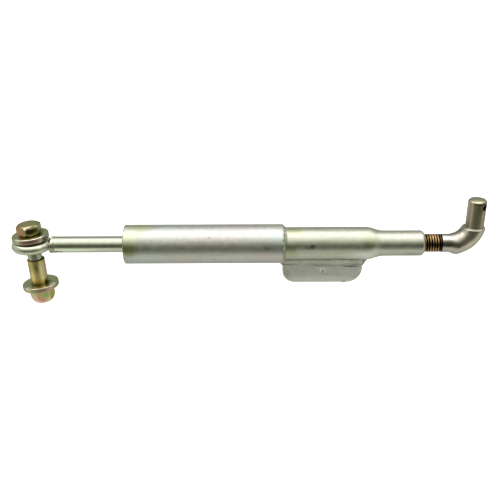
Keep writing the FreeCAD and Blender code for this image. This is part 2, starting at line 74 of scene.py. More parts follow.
class Slot(Enum):
    """Two of the record's material slot names, which nothing here uses."""

    PLATED_WELD = "plated_weld"
    PLATED_FORGING = "plated_forging"


def linear_channel(level: float) -> float:
    """Turns one sRGB channel to linear light.

    Args:
        level: The channel, 0 to 1.

    Returns:
        The linear channel, 0 to 1.
    """
    if level <= SRGB_KNEE:
        return level / SRGB_SLOPE
    return ((level + SRGB_OFFSET) / (1 + SRGB_OFFSET)) ** SRGB_POWER


def linear(code: str) -> tuple[float, float, float, float]:
    """Turns an sRGB hex colour to linear light.

    Args:
        code: Six hex digits.

    Returns:
        Red, green, blue and a full alpha.
    """
    red, green, blue = (linear_channel(int(code[i:i + 2], 16) / 255) for i in (0, 2, 4))
    return (red, green, blue, 1.0)


def add_node(tree: bpy.types.NodeTree, kind: str, settings: dict | None = None,
             inputs: dict | None = None) -> bpy.types.Node:
    """Adds one node with its settings, input values and links.

    Args:
        tree: The node tree that gets the node.
        kind: The node's type name.
        settings: Properties of the node.
        inputs: Values or output sockets, by input name or number.

    Returns:
        The new node.
    """
    made = tree.nodes.new(kind)
    for key, value in (settings or {}).items():
        setattr(made, key, value)
    for key, value in (inputs or {}).items():
        if isinstance(value, bpy.types.NodeSocket):
            tree.links.new(value, made.inputs[key])
        else:
            made.inputs[key].default_value = value
    return made


def paint_ramp(ramp: bpy.types.ColorRamp, stops: tuple[tuple[float, str], ...]) -> None:
    """Sets a colour ramp's stops.

    Args:
        ramp: The ramp, which starts with two stops.
        stops: Place and sRGB hex colour of each stop, in order.
    """
    while len(ramp.elements) < len(stops):
        ramp.elements.new(0.5)
    for element, (place, code) in zip(ramp.elements, stops):
        element.position = place
        element.color = linear(code)


def empty_material(name: str) -> bpy.types.Material:
    """Makes a material whose node tree has no nodes yet.

    Args:
        name: The material's name.

    Returns:
        The material.
    """
    material = bpy.data.materials.new(name)
    material.use_nodes = True
    material.node_tree.nodes.clear()
    return material


@dataclass(frozen=True)
class Mark:
    """A stain, pit or scuff on a surface, or a painted highlight, reflection or shade, about a
    point in millimetres.

    A stretch below 1 makes it longer along that axis. A ragged edge wanders in by its
    raggedness, as a share of the size. The mark is full within its core share of the size.
    """

    point_mm: tuple[float, float, float]
    size_mm: float
    colour: str
    strength: float = 0.8
    stretch: tuple[float, float, float] = (1.0, 1.0, 1.0)
    raggedness: float = 0.5
    core: float = 0.5
    wanders: float = 1.5

    def lay_over(self, tree: bpy.types.NodeTree, place: bpy.types.NodeSocket,
                 colour: bpy.types.NodeSocket) -> bpy.types.NodeSocket:
        """Lays the mark over a colour.

        Args:
            tree: The material's node tree.
            place: The Object coordinates.
            colour: The colour underneath.

        Returns:
            The colour with the mark.
        """
        size = self.size_mm * MM
        wander = add_node(tree, "ShaderNodeTexNoise", inputs={
            "Vector": place, "Scale": self.wanders / size, "Detail": 3.0})
        local = add_node(tree, "ShaderNodeVectorMath", {"operation": "SUBTRACT"}, {
            0: place, 1: Vector(self.point_mm) * MM})
        scaled = add_node(tree, "ShaderNodeVectorMath", {"operation": "MULTIPLY"}, {
            0: local.outputs[0], 1: self.stretch})
        away = add_node(tree, "ShaderNodeVectorMath", {"operation": "LENGTH"}, {
            0: scaled.outputs[0]})
        ragged = add_node(tree, "ShaderNodeMath", {"operation": "MULTIPLY_ADD"}, {
            0: wander.outputs["Fac"], 1: self.raggedness * size, 2: away.outputs["Value"]})
        inside = add_node(tree, "ShaderNodeMapRange", {"interpolation_type": "SMOOTHSTEP"}, {
            "Value": ragged.outputs[0], "From Min": self.core * size, "From Max": size,
            "To Min": self.strength, "To Max": 0.0})
        mixed = add_node(tree, "ShaderNodeMix", {"data_type": "RGBA"}, {
            "Factor": inside.outputs[0], 6: colour, 7: linear(self.colour)})
        return mixed.outputs[2]


@dataclass(frozen=True)
class PlatedSteel:
    """Zinc plating on steel: a soft metal sheen whose hue drifts over tens of millimetres.

    The hue follows a slow drift, clouds dull it and fine grain lines run along it. An
    edge_mm above 0 rounds the look of edges by that much.
    """

    name: str
    hues: tuple[tuple[float, str], ...]
    drift_mm: float = 45.0
    drift_stretch: float = 0.35
    cloud_mm: float = 5.0
    cloud: float = 0.12
    grain_mm: float = 0.9
    grain_run: float = 30.0
    grain: float = 0.10
    roughness: float = 0.30
    roughness_spread: float = 0.08
    bump_mm: float = 0.03
    bump_strength: float = 0.5
    edge_mm: float = 0.0
    edge_samples: int = 6
    marks: tuple[Mark, ...] = ()

    def build(self) -> bpy.types.Material:
        """Makes the material.

        Returns:
            The finished material.
        """
        material = empty_material(self.name)
        tree = material.node_tree
        place = add_node(tree, "ShaderNodeTexCoord").outputs["Object"]
        colour = self.hue(tree, place)
        fine = self.grain_lines(tree, place)
        clouds = self.clouds(tree, place)
        colour = self.shade(tree, colour, clouds, self.cloud)
        colour = self.shade(tree, colour, fine, self.grain)
        for mark in self.marks:
            colour = mark.lay_over(tree, place, colour)
        rough = add_node(tree, "ShaderNodeMapRange", inputs={
            "Value": clouds, "To Min": self.roughness - self.roughness_spread,
            "To Max": self.roughness + self.roughness_spread})
        height = add_node(tree, "ShaderNodeMath", {"operation": "ADD"}, {0: fine, 1: clouds})
        bump = add_node(tree, "ShaderNodeBump", inputs={
            "Strength": self.bump_strength, "Distance": self.bump_mm * MM,
            "Height": height.outputs[0]})
        if self.edge_mm:
            worn = add_node(tree, "ShaderNodeBevel", {"samples": self.edge_samples}, {
                "Radius": self.edge_mm * MM})
            tree.links.new(worn.outputs[0], bump.inputs["Normal"])
        shader = add_node(tree, "ShaderNodeBsdfPrincipled", inputs={
            "Base Color": colour, "Metallic": 1.0, "Roughness": rough.outputs[0],
            "Normal": bump.outputs[0]})
        add_node(tree, "ShaderNodeOutputMaterial", inputs={"Surface": shader.outputs[0]})
        return material

    def hue(self, tree: bpy.types.NodeTree, place: bpy.types.NodeSocket) -> bpy.types.NodeSocket:
        """The plating's slow drift of hue along and round the piece.

        Args:
            tree: The material's node tree.
            place: The Object coordinates.

        Returns:
            The colour.
        """
        stretched = add_node(tree, "ShaderNodeMapping", inputs={
            "Vector": place, "Scale": (self.drift_stretch, 1.0, 1.0)})
        drift = add_node(tree, "ShaderNodeTexNoise", inputs={
            "Vector": stretched.outputs[0], "Scale": 1 / (self.drift_mm * MM), "Detail": 2.0})
        ramp = add_node(tree, "ShaderNodeValToRGB", inputs={"Fac": drift.outputs["Fac"]})
        paint_ramp(ramp.color_ramp, self.hues)
        return ramp.outputs["Color"]

    def clouds(self, tree: bpy.types.NodeTree, place: bpy.types.NodeSocket) -> bpy.types.NodeSocket:
        """Uneven dullness a few millimetres across, as barrel plating leaves.

        Args:
            tree: The material's node tree.
            place: The Object coordinates.

        Returns:
            The pattern, 0 to 1.
        """
        made = add_node(tree, "ShaderNodeTexNoise", inputs={
            "Vector": place, "Scale": 1 / (self.cloud_mm * MM), "Detail": 4.0, "Roughness": 0.6})
        return made.outputs["Fac"]

    def grain_lines(self, tree: bpy.types.NodeTree,
                    place: bpy.types.NodeSocket) -> bpy.types.NodeSocket:
        """Fine drawing lines along the bar, drawn coarser than real so that they show.

        Args:
            tree: The material's node tree.
            place: The Object coordinates.

        Returns:
            The pattern, 0 to 1.
        """
        stretched = add_node(tree, "ShaderNodeMapping", inputs={
            "Vector": place, "Scale": (1 / self.grain_run, 1.0, 1.0)})
        made = add_node(tree, "ShaderNodeTexNoise", inputs={
            "Vector": stretched.outputs[0], "Scale": 1 / (self.grain_mm * MM), "Detail": 3.0})
        return made.outputs["Fac"]

    def shade(self, tree: bpy.types.NodeTree, colour: bpy.types.NodeSocket,
              pattern: bpy.types.NodeSocket, amount: float) -> bpy.types.NodeSocket:
        """Lightens and darkens a colour by a pattern, about its middle value.

        Args:
            tree: The material's node tree.
            colour: The colour to shade.
            pattern: The pattern, 0 to 1.
            amount: The most that it lightens or darkens, as a share.

        Returns:
            The shaded colour.
        """
        level = add_node(tree, "ShaderNodeMapRange", inputs={
            "Value": pattern, "From Min": NOISE_LOW, "From Max": NOISE_HIGH,
            "To Min": 1 - amount, "To Max": 1 + amount})
        made = add_node(tree, "ShaderNodeVectorMath", {"operation": "SCALE"}, {
            0: colour, "Scale": level.outputs[0]})
        return made.outputs["Vector"]


@dataclass(frozen=True)
class OiledThread(PlatedSteel):
    """A rolled thread: rubbed brassy on its crests and black with old oil in its roots.

    The rubbing is patchy: a noise moves it in and out by up to patch_mm.
    """

    crest: str = "A98C62"
    flank: str = "4A2C12"
    root: str = "120A05"
    flank_share: float = 0.55
    crest_mm: float = 8.95
    root_mm: float = 7.7
    patch_mm: float = 1.2

    def hue(self, tree: bpy.types.NodeTree, place: bpy.types.NodeSocket) -> bpy.types.NodeSocket:
        """The oil in the roots and the rubbed crests, by distance from the axis.

        Args:
            tree: The material's node tree.
            place: The Object coordinates.

        Returns:
            The colour.
        """
        parts = add_node(tree, "ShaderNodeSeparateXYZ", inputs={0: place})
        across = add_node(tree, "ShaderNodeCombineXYZ", inputs={
            "Y": parts.outputs["Y"], "Z": parts.outputs["Z"]})
        radius = add_node(tree, "ShaderNodeVectorMath", {"operation": "LENGTH"}, {
            0: across.outputs[0]})
        patchy = add_node(tree, "ShaderNodeTexNoise", inputs={
            "Vector": place, "Scale": 1 / (self.cloud_mm * MM), "Detail": 2.0})
        worn = add_node(tree, "ShaderNodeMath", {"operation": "MULTIPLY_ADD"}, {
            0: patchy.outputs["Fac"], 1: self.patch_mm * MM, 2: radius.outputs["Value"]})
        mean_patch_mm = self.patch_mm / 2
        share = add_node(tree, "ShaderNodeMapRange", inputs={
            "Value": worn.outputs[0], "From Min": (self.root_mm + mean_patch_mm) * MM,
            "From Max": (self.crest_mm + mean_patch_mm) * MM})
        ramp = add_node(tree, "ShaderNodeValToRGB", inputs={"Fac": share.outputs[0]})
        paint_ramp(ramp.color_ramp, (
            (0.0, self.root), (self.flank_share, self.flank), (1.0, self.crest)))
        return ramp.outputs["Color"]


# Clear zinc on drawn tube: a soft satin sheen that drifts between bluish and warm grey, with
# olive stains at the open end, faint bands and a few pits.
CLEAR_HUES = ((0.30, "ABB4B2"), (0.48, "AFB4B0"), (0.60, "B2B3AE"), (0.75, "B3AFAC"))
OUTER_TUBE = PlatedSteel(
    "clear_zinc_drawn_tube", CLEAR_HUES, roughness=0.40, marks=(
        Mark((97.0, -18.6, 1.0), 24.0, "868A4C", 0.80, (1.0, 0.8, 1.1), 0.9),
        Mark((90.4, -14.0, 12.0), 7.0, "8A8C70", 0.7, (2.4, 0.6, 0.6), 0.4),
        Mark((105.0, -3.0, 18.8), 18.0, "9CA06A", 0.6, (0.5, 1.0, 1.0), 0.7),
        Mark((97.8, -14.5, 12.2), 12.0, "BCC098", 0.5, (0.7, 1.0, 1.0)),
        Mark((113.5, -18.5, 4.0), 7.0, "94A498", 0.5),
        Mark((232.0, -18.0, -6.0), 30.0, "B8A8A6", 0.55, (0.4, 1.0, 1.0), 0.9),
        Mark((148.0, -17.5, -7.0), 15.0, "B4A8A0", 0.4, (0.4, 1.0, 1.0), 0.9),
        Mark((236.5, -14.5, 12.5), 9.0, "A8B4B4", 0.5, (0.6, 1.0, 1.0)),
        Mark((229.0, -18.8, 3.0), 5.0, "6E8078", 0.6, (0.5, 1.0, 1.2), 0.9),
        Mark((240.5, -15.0, 11.0), 3.4, "D2D6CC", 0.7, (1.2, 0.4, 0.4), 1.6),
        Mark((94.2, -15.7, -10.8), 1.0, "3A3C38"),
        Mark((92.2, -17.5, -8.0), 1.2, "4A4C44", 0.5, (1.0, 0.2, 0.2)),
        Mark((173.5, -14.3, 12.7), 1.2, "6A6A60", 0.7, (0.5, 1.0, 1.0)),
        Mark((132.7, -18.1, 6.0), 0.9, "4E5048", 0.7),
        Mark((148.0, -18.1, 6.0), 0.9, "4E5048", 0.7)))

# Clear zinc on swaged tube: the same sheen, a little brighter and greener, with a dark band of
# painted shade in the groove beside the joint's weld, a faint line of painted shade in the valley
# above the lug's weld, a pale line along its middle and dull patches towards the neck.
SWAGED_TUBE = PlatedSteel(
    "clear_zinc_swaged_tube",
    ((0.30, "A8AA96"), (0.48, "AAACA0"), (0.60, "ADADA2"), (0.75, "ABA89C")),
    roughness=0.36, marks=(
        Mark((290.0, -15.9, 0.4), 3.6, "DCDCD4", 0.50, (0.02, 1.0, 1.0), 0.3),
        # A dark band of painted shade in the groove beside the joint's weld.
        Mark((247.7, -11.0, 11.0), 13.0, "4C5036", 0.85, (11.0, 1.0, 1.0), 0.4),
        Mark((250.0, -15.9, -1.5), 17.0, "989A70", 0.65, (0.8, 0.8, 0.8), 0.9),
        Mark((272.6, -15.4, 3.2), 5.6, "3E4234", 0.75, (0.6, 1.0, 1.0), 1.0),
        Mark((268.0, -15.6, 1.8), 4.0, "6A6E5A", 0.6, (0.4, 1.0, 1.4), 1.0),
        Mark((326.0, -14.9, 4.5), 7.0, "666C50", 0.6, (0.5, 1.0, 1.0), 0.8),
        Mark((254.0, -4.0, 15.6), 9.0, "8E9260", 0.6, (0.5, 1.0, 1.0), 0.8),
        Mark((258.0, -9.0, 13.0), 14.0, "AEB08E", 0.3, (0.5, 1.0, 1.0), 0.8),
        Mark((328.0, -12.0, 8.0), 14.0, "A4A880", 0.5, (0.6, 1.0, 1.0), 0.8),
        Mark((320.0, -13.0, -9.0), 18.0, "D4D4CE", 0.7, (0.6, 1.0, 1.0), 0.6),
        Mark((370.0, -9.0, -8.5), 10.0, "8E9086", 0.5, (0.5, 1.0, 1.0), 0.8),
        Mark((376.0, -11.5, 3.0), 6.0, "868C64", 0.5, (0.5, 1.0, 1.0), 0.8),
        Mark((310.0, -13.8, -7.5), 12.0, "A8A8A4", 0.4, (0.4, 1.0, 1.0), 0.8),
        # A faint line of painted shade along the valley above the lug's weld.
        Mark((283.0, -12.1, -10.6), 1.1, "84867A", 0.30, (0.012, 1.0, 1.0), 1.8)))

# Clear zinc on sheared plate: flatter and duller than the tubes, nearly matt, with bright beads
# of spatter under its weld, dirt and painted shade in the undercut along the weld's foot, dark
# soot at its far end, and a painted reflection lightening its lower edge.
LUG_PLATE = PlatedSteel(
    "clear_zinc_plate", ((0.36, "C6C8C6"), (0.5, "CBCBC8"), (0.62, "CFCDC8")),
    drift_mm=16.0, drift_stretch=0.7, grain=0.05, roughness=0.62, marks=(
        # A lighter strip along the lower edge: painted reflection.
        Mark((283.0, -3.0, -40.5), 12.0, "E2E2DC", 0.75, (0.14, 0.3, 1.0), 0.5),
        Mark((248.0, -3.0, -30.0), 9.0, "A4AA94", 0.5, (1.0, 0.3, 0.7), 0.8),
        # Dirt and painted shade in the undercut along the weld's foot, darker towards the far end.
        Mark((283.0, -3.0, -23.0), 1.6, "5C5E54", 0.75, (0.025, 0.5, 1.0), 1.2),
        Mark((312.0, -3.0, -23.4), 2.2, "34362E", 0.85, (0.10, 0.5, 1.0), 0.9),
        Mark((282.0, -3.0, -27.8), 1.7, "FFFFFF", 0.9, (1.0, 0.5, 0.6), 0.8),
        Mark((283.4, -3.0, -25.8), 1.7, "FFFFFF", 0.9, (0.8, 0.5, 0.8), 0.8),
        Mark((285.6, -3.0, -26.6), 1.7, "FFFFFF", 0.9, (1.0, 0.5, 0.6), 0.8),
        Mark((287.0, -3.0, -29.2), 1.7, "F4F4F0", 0.8, (1.0, 0.5, 0.6), 0.8),
        Mark((284.4, -3.0, -29.0), 1.8, "6E6E68", 0.7, (1.0, 0.5, 0.5), 0.8),
        Mark((306.0, -3.0, -40.6), 2.8, "34362E", 0.85, (0.45, 0.5, 1.0), 0.9)))

# Clear zinc on bright drawn rod: the smoothest plating here, with crisp long bands of light and
# dark, and painted reflection near its eye end: lighter underneath and across its front, duller
# along its top highlight.
ROD = PlatedSteel(
    "clear_zinc_bright_rod", ((0.3, "B4B8AC"), (0.7, "B0B2A2")),
    roughness=0.17, roughness_spread=0.04, marks=(
        # Painted reflection: a lighter band underneath, a duller top highlight and a lighter front.
        Mark((28.0, -7.4, -3.1), 3.6, "D2DAC8", 0.75, (0.06, 1.0, 1.0), 0.4),
        Mark((54.0, -3.1, 7.4), 6.0, "9A9A8E", 0.75, (0.05, 1.0, 1.0), 0.3),
        Mark((22.0, -7.8, 1.4), 3.4, "CACCB0", 0.70, (0.3, 1.0, 1.0), 0.6)))

# Clear zinc on bent bar: a broad bright highlight round the ring, dulled beside the weld.
EYE = PlatedSteel(
    "clear_zinc_bent_bar", ((0.3, "C2C6BA"), (0.7, "B6BAA6")), roughness=0.30, marks=(
        Mark((14.2, -12.1, 2.8), 6.0, "8A8E78", 0.7, (1.0, 1.0, 1.0), 0.6),))

# Zinc over weld metal: mottled and broken by the ripples into small soft glints.
WELD = PlatedSteel(
    "zinc_over_weld", ((0.3, "9C9C90"), (0.7, "A8A89E")),
    drift_mm=12.0, cloud=0.25, cloud_mm=1.6, grain=0.0, roughness=0.40, marks=(
        Mark((250.0, -8.0, -20.0), 3.0, "DEE0D6", 0.7, (0.5, 1.0, 1.6), 1.4),
        Mark((255.0, -8.0, -19.0), 1.6, "5E6050", 0.6, (0.4, 1.0, 1.6), 1.4)))

# Zinc over the eye's weld: smooth, with a painted highlight on top and painted shade in dark
# olive on its front where it meets the ring.
EYE_WELD = PlatedSteel(
    "zinc_over_eye_weld", ((0.3, "ACAC9E"), (0.7, "A2A294")), roughness=0.34, marks=(
        # A painted highlight on top, then painted shade in dark olive on the front.
        Mark((19.6, -5.8, 4.6), 6.5, "CCC4B4", 0.90, (0.7, 1.0, 1.0), 0.6),
        Mark((20.8, -8.0, 0.7), 1.9, "4E5438", 0.6, (0.35, 1.0, 1.2), 0.8),
        Mark((19.0, -7.6, -1.0), 1.4, "4A5414", 0.8, (1.0, 1.0, 0.7), 0.8)))

# Zinc on a drop forging: warm grey and uneven, glossy on its rounded edges, with olive patches at
# the elbow, painted highlights along the shank's top and the elbow's bend, pinkish on the bend,
# and painted shade across the shank's front and over parts of the highlights.
FORGING = PlatedSteel(
    "zinc_forging", ((0.3, "A5A096"), (0.5, "A7A298"), (0.7, "ACA49E")),
    drift_mm=14.0, drift_stretch=1.0, cloud_mm=3.0, grain_run=1.0, grain=0.04,
    roughness=0.22, edge_mm=0.3, marks=(
        # A painted highlight along the shank's top, painted shade across its front and over part of
        # its highlight.
        Mark((403.0, -3.0, 8.0), 14.0, "D2D2D2", 0.6, (0.7, 1.0, 1.0), 0.8),
        Mark((404.0, -8.5, 3.0), 7.0, "5E5C52", 0.85, (0.5, 1.0, 1.1), 0.4),
        Mark((406.0, -0.5, 9.5), 9.0, "86847A", 0.65, (0.5, 1.0, 1.0), 0.4),
        # Painted shade over the elbow's highlight on its inner curve, then painted highlights,
        # pinkish, lower on its bend.
        Mark((416.0, -3.0, 13.0), 8.0, "827E72", 0.65, (1.0, 1.0, 1.0), 0.5),
        Mark((419.0, -8.7, 12.2), 9.0, "D2CABE", 0.6, (1.0, 1.0, 1.0), 0.5),
        Mark((421.5, -10.5, 7.0), 11.0, "C6B0A2", 0.75, (0.9, 1.0, 0.9), 0.7),
        Mark((414.0, -10.4, 1.5), 6.0, "7C6A58", 0.6, (0.6, 1.0, 1.0), 0.9),
        Mark((432.5, -9.0, 7.5), 9.0, "B2B28A", 0.65, (1.2, 1.0, 0.6), 0.7),
        Mark((429.0, -10.0, 14.5), 5.0, "A09A82", 0.5, (0.7, 1.0, 1.0), 0.7),
        Mark((419.0, -4.0, 16.9), 4.0, "7A7E30", 0.6, (0.5, 0.5, 1.2), 0.9)))

# Dull zinc on the turned pin: browner than the forging, with painted upright streaks of
# reflection, pale and dark, down its side, a painted highlight on its top chamfer with painted
# shade below it, and a dark olive band at its foot.
PIN_ZINC = PlatedSteel(
    "dull_zinc_pin", ((0.3, "938C78"), (0.5, "8F8772"), (0.7, "8B8970")),
    drift_mm=9.0, drift_stretch=1.0, cloud_mm=2.5, grain_run=1.0, grain=0.05,
    roughness=0.30, edge_mm=0.3, marks=(
        # Painted upright streaks of reflection, pale and dark.
        Mark((422.4, -4.9, 33.0), 4.6, "B2A496", 0.75, (1.0, 1.0, 0.16), 0.5),
        Mark((421.0, -1.8, 36.0), 4.4, "CCC8B0", 0.75, (1.0, 1.0, 0.15), 0.6),
        Mark((430.8, -8.6, 37.0), 5.0, "5C5440", 0.35, (1.0, 1.0, 0.5), 0.6),
        Mark((436.0, -5.4, 27.0), 3.6, "8E9274", 0.60, (1.0, 1.0, 0.25), 0.7),
        Mark((429.4, 0.0, 46.0), 16.0, "A4A68C", 0.85, (1.0, 1.0, 6.0), 0.2),
        # Painted shade below the top chamfer, then a painted highlight on it.
        Mark((430.0, -8.5, 42.7), 2.2, "403A2A", 0.80, (0.2, 0.4, 1.0), 0.4),
        Mark((428.0, -8.0, 44.2), 3.0, "B4B09A", 0.60, (0.45, 1.0, 1.6), 0.4),
        Mark((431.0, -8.7, 17.9), 2.6, "5E6020", 0.80, (0.25, 0.6, 1.0), 0.9)))

# A rolled thread in old oil: brassy glints on the crests between black roots, with a painted
# highlight on top, painted reflection below, and painted shade across its front and in the groove
# at its end.
THREAD = OiledThread(
    "oiled_thread", (), drift_mm=3.0, cloud_mm=3.0, grain=0.0, roughness=0.30, marks=(
        # A painted highlight on top, painted reflection below, painted shade across the front and
        # in the groove at the thread's end.
        Mark((390.0, 0.5, 8.9), 9.0, "E8C880", 0.45, (1.0, 1.0, 1.0), 0.6),
        Mark((391.0, -7.0, -5.3), 5.0, "C89850", 0.35, (0.4, 1.0, 1.0), 0.6),
        Mark((391.0, -8.4, 1.5), 8.0, "1E1008", 0.65, (0.35, 1.0, 1.0), 0.9),
        Mark((384.0, -6.0, 1.0), 6.0, "1C1006", 0.60, (1.0, 0.3, 0.3), 0.6),
        Mark((397.0, 0.0, 0.0), 1.6, "120A06", 0.80, (1.0, 0.02, 0.02), 0.4)))

# Bare turned steel under grease: dark and dull.
BARE_STEEL = PlatedSteel(
    "greased_bare_steel", ((0.3, "6A6864"), (0.7, "7A7874")), roughness=0.4)

# Blued spring steel: nearly black with a cold sheen.
SPRING_CLIP = PlatedSteel(
    "blued_spring_steel", ((0.3, "3A3C40"), (0.7, "4A4A4C")), roughness=0.35)

# Yellow zinc on a forged bolt: olive gold and salmon from face to face, a painted dark reflection,
# brown, on the front flat, rounded edges with painted highlights along the front of the top
# chamfer, a painted shadow at the head's right foot, painted light over the shade at its front
# foot, and a greyer shank.
BOLT_ZINC = PlatedSteel(
    "yellow_zinc_bolt", ((0.3, "8E8C54"), (0.5, "928A58"), (0.7, "888C58")),
    drift_mm=9.0, drift_stretch=1.0, grain_run=1.0, grain=0.03,
    roughness=0.26, edge_mm=0.5, marks=(
        Mark((-8.0, -8.0, 16.6), 10.0, "A0745C", 0.80, (1.0, 1.0, 1.0), 0.5),
        Mark((9.5, -2.0, 16.0), 7.0, "7E8040", 0.75, (1.0, 1.0, 1.0), 0.5),
        Mark((-1.5, 0.0, 23.5), 14.0, "9C9454", 0.80, (1.0, 1.0, 1.5), 0.5),
        # A painted dark reflection, brown, on the front flat.
        Mark((3.2, -9.4, 17.6), 6.4, "3A2C1C", 0.92, (0.6, 0.6, 1.3), 0.4),
        Mark((7.0, -7.0, 14.6), 4.0, "8E8A30", 0.80, (0.7, 1.0, 1.0), 0.6),
        # Painted highlights along the front of the top chamfer.
        Mark((-1.2, -11.3, 20.2), 1.9, "ECD8C4", 0.85, (0.5, 1.0, 1.0), 0.4),
        Mark((3.4, -9.0, 20.8), 2.3, "FCEADA", 0.90, (0.35, 0.6, 1.2), 0.4),
        Mark((7.8, -6.2, 20.8), 2.2, "E8DEB8", 0.80, (0.5, 0.6, 1.2), 0.4),
        # Painted light over the shade at the head's front foot, then a painted shadow at its right
        # foot.
        Mark((0.5, -10.5, 12.8), 4.0, "B4A468", 0.80, (0.4, 1.0, 1.4), 0.6),
        Mark((9.8, 0.5, 13.2), 4.6, "4A5208", 0.85, (1.0, 0.6, 1.0), 0.6),
        Mark((1.0, 0.0, -11.0), 16.0, "A2A68E", 0.95, (0.8, 0.8, 0.6), 0.2)))

# Yellow zinc on a nut: the palest of the yellow plating, whose flats go from pink to green.
NUT_ZINC = PlatedSteel(
    "yellow_zinc_nut", ((0.3, "D2CA9C"), (0.5, "D4CA94"), (0.7, "CCCA9C")),
    drift_mm=9.0, drift_stretch=1.0, grain_run=1.0, grain=0.03,
    roughness=0.32, edge_mm=0.5, marks=(
        Mark((-6.0, -5.0, -50.0), 6.0, "B0B8A4", 0.8, (1.0, 0.8, 0.5), 0.5),
        Mark((0.3, -10.0, -50.0), 4.5, "D0A48C", 0.8, (1.0, 1.0, 0.4), 0.6),
        Mark((1.8, -10.8, -52.6), 5.6, "FFB494", 0.9, (0.9, 1.0, 1.0), 0.6),
        Mark((4.0, -10.4, -56.0), 7.0, "EEB4AE", 0.9, (0.6, 1.0, 1.0), 0.6),
        Mark((6.5, -11.0, -50.0), 4.6, "E6D488", 0.8, (0.8, 1.0, 1.0), 0.6),
        Mark((9.4, -10.8, -50.0), 3.0, "A8C070", 0.7, (1.0, 1.0, 0.7), 0.6),
        Mark((10.9, -10.4, -49.6), 3.2, "9AD29E", 0.70, (1.1, 1.0, 0.6), 0.5),
        Mark((10.8, -9.8, -54.2), 3.0, "F0DE9C", 0.8, (0.9, 1.0, 1.0), 0.5),
        Mark((15.5, -4.0, -50.0), 10.0, "B0B258", 0.9, (1.6, 1.0, 0.5), 0.5),
        Mark((7.5, -8.0, -60.0), 3.0, "585448", 0.8, (0.5, 0.6, 1.5), 0.5)))

# Yellow zinc on machined washers: sage green on top and dusky pink on the rims, with a bright thin
# edge between, rounded and with a painted highlight along its front. On the upper washer the head's
# shadow and the shade under its right rim are painted, and painted light lifts the shade in front
# of the head; on the lower one a painted shadow rings the bush's foot. The upper washer's marks are
# above z 0, the lower's below.
WASHER_ZINC = PlatedSteel(
    "yellow_zinc_washer", ((0.3, "98A274"), (0.5, "A0A272"), (0.7, "969E80")),
    drift_mm=12.0, drift_stretch=1.0, grain_run=1.0, grain=0.03,
    roughness=0.26, edge_mm=1.1, marks=(
        Mark((7.0, -17.0, 8.0), 22.0, "B08C8C", 0.85, (0.7, 1.0, 1.6), 0.6),
        Mark((-12.0, -13.0, 7.0), 9.0, "A6AE80", 0.7, (1.0, 1.0, 1.0), 0.6),
        Mark((14.0, -6.0, 13.0), 9.0, "8E968E", 0.6, (1.0, 1.0, 1.0), 0.6),
        # Painted light lifting the shade in front of the head, the head's painted shadow, and
        # painted shade under the right rim.
        Mark((-4.0, -11.0, 11.5), 7.0, "A2A268", 0.7, (0.7, 1.0, 1.0), 0.6),
        Mark((4.0, -11.5, 12.0), 7.0, "A4A860", 0.7, (0.5, 1.0, 1.0), 0.6),
        Mark((9.5, 3.0, 12.3), 6.0, "58620E", 0.85, (1.0, 0.5, 1.0), 0.6),
        Mark((15.5, -7.5, 9.0), 5.0, "564840", 0.75, (1.0, 1.0, 1.0), 0.7),
        # A painted highlight along the upper washer's front edge.
        Mark((-9.0, -15.4, 11.2), 2.8, "E8E8D4", 0.7, (0.4, 0.4, 1.5), 0.3),
        Mark((-1.0, -17.4, 11.8), 2.6, "E4D6CE", 0.70, (0.35, 0.5, 1.5), 0.3),
        Mark((7.0, -15.6, 12.4), 2.7, "ECE0D8", 0.75, (0.4, 0.4, 1.5), 0.3),
        Mark((13.0, -11.0, 12.8), 2.8, "E8E0D8", 0.7, (0.5, 0.4, 1.5), 0.3),
        Mark((11.0, -16.0, -44.0), 16.0, "B08E84", 0.8, (0.8, 1.0, 1.4), 0.6),
        Mark((-7.0, -14.0, -44.0), 7.0, "BCB088", 0.7, (1.0, 1.0, 1.0), 0.6),
        # A painted highlight along the lower washer's front edge.
        Mark((-5.0, -15.4, -40.8), 2.6, "E4D8CC", 0.6, (0.4, 0.4, 1.5), 0.3),
        Mark((3.6, -17.4, -39.9), 2.6, "DCCEC6", 0.65, (0.35, 0.5, 1.5), 0.3),
        Mark((11.5, -15.6, -39.3), 2.6, "DCCEC6", 0.65, (0.4, 0.4, 1.5), 0.3),
        Mark((18.0, -10.0, -38.8), 2.8, "E8E4D4", 0.7, (0.5, 0.35, 1.5), 0.3),
        # A painted shadow round the bush's foot.
        Mark((11.2, -2.5, -39.3), 6.2, "4A5410", 0.88, (1.0, 0.6, 1.0), 0.5),
        Mark((-3.6, -3.8, -40.5), 4.4, "4C5014", 0.80, (1.0, 0.6, 1.0), 0.5),
        Mark((4.0, -11.6, -40.0), 6.2, "666A1C", 0.80, (0.45, 1.0, 1.0), 0.6)))

